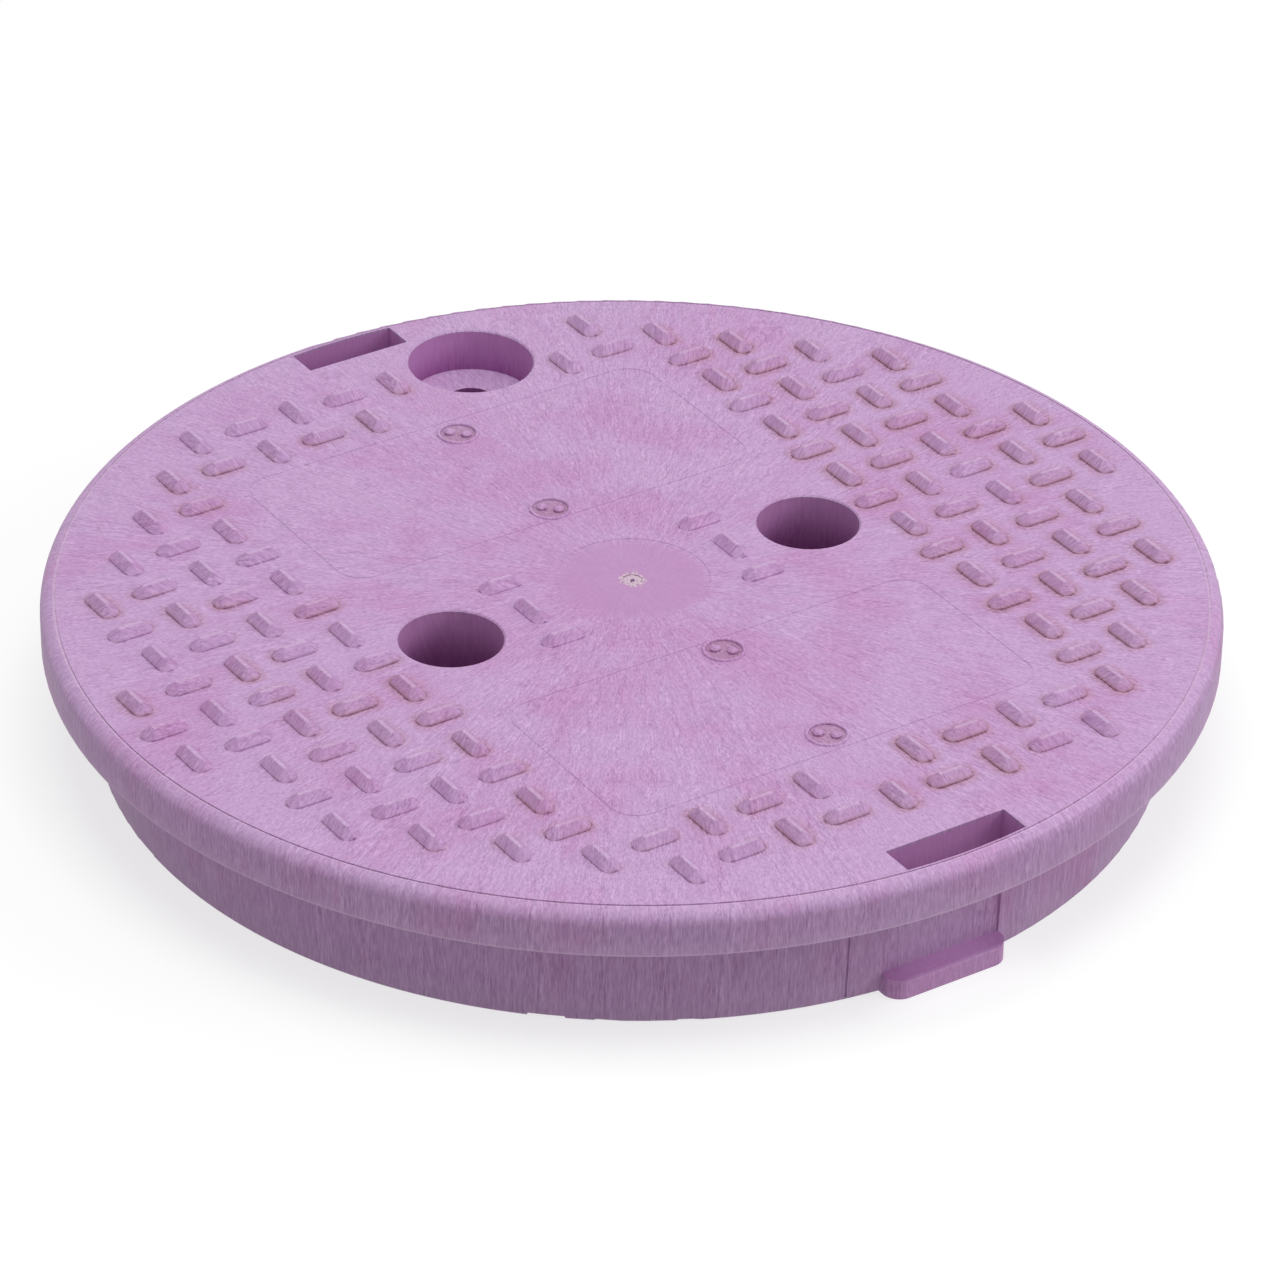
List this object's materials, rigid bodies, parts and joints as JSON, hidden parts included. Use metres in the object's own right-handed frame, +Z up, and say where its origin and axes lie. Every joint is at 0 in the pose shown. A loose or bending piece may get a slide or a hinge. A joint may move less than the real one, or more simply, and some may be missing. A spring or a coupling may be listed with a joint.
{
  "type": "valve box cover",
  "caption": "Round moulded ground-box cover with a deep skirt, raised tread bars, two edge slots over lugs, two lift holes and a sunk bolt recess.",
  "frame": {"origin": "on the cover's axis, in the plane of the skirt's foot", "axes": "+Z up through the tread, +X along the two lift holes, -Y towards the wider lift slot"},
  "size_m": [0.3, 0.3, 0.0429],
  "materials": {
    "plastic": "satin"
  },
  "bodies": {
    "root": {"cover": "plastic"}
  },
  "joints": []
}
